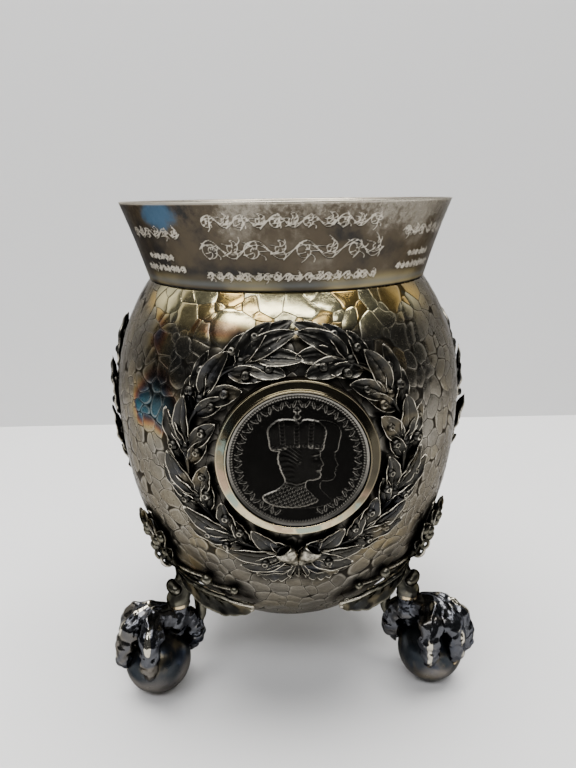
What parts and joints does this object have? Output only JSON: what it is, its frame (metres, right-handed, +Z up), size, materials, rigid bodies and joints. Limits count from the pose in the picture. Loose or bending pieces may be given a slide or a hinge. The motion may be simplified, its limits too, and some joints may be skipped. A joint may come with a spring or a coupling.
{
  "type": "footed trophy cup",
  "caption": "Egg-shaped metal cup with a flared neck and pebbled chasing, wreathed coin medallions round the belly, on claw-and-ball feet.",
  "frame": {"origin": "on the bowl's axis, in the plane that the three balls stand on", "axes": "+Z up along the bowl's axis, -Y out through the front medallion, +X to the right of someone facing it"},
  "size_m": [0.106, 0.1112, 0.1392],
  "materials": {
    "chased_silver": "chased and tarnished",
    "plain_silver": "polished, with tarnish",
    "coin_silver": "dark toned proof surface",
    "gilt": "worn gilding",
    "laurel_silver": "oxidised, with bright edges",
    "foot_silver": "oxidised cast silver, with bright edges"
  },
  "bodies": {
    "root": {"bowl": "chased_silver", "neck": "plain_silver", "coin_front": "coin_silver", "bezel_front": "gilt", "laurel_front_right_branch": "laurel_silver", "laurel_front_left_branch": "laurel_silver", "bow_front": "laurel_silver", "coin_right": "coin_silver", "bezel_right": "gilt", "laurel_right_right_branch": "laurel_silver", "laurel_right_left_branch": "laurel_silver", "bow_right": "laurel_silver", "coin_left": "coin_silver", "bezel_left": "gilt", "laurel_left_right_branch": "laurel_silver", "laurel_left_left_branch": "laurel_silver", "bow_left": "laurel_silver", "ball_right": "foot_silver", "bracket_right": "foot_silver", "claw_right": "foot_silver", "ball_back": "foot_silver", "bracket_back": "foot_silver", "claw_back": "foot_silver", "ball_left": "foot_silver", "bracket_left": "foot_silver", "claw_left": "foot_silver"}
  },
  "joints": []
}
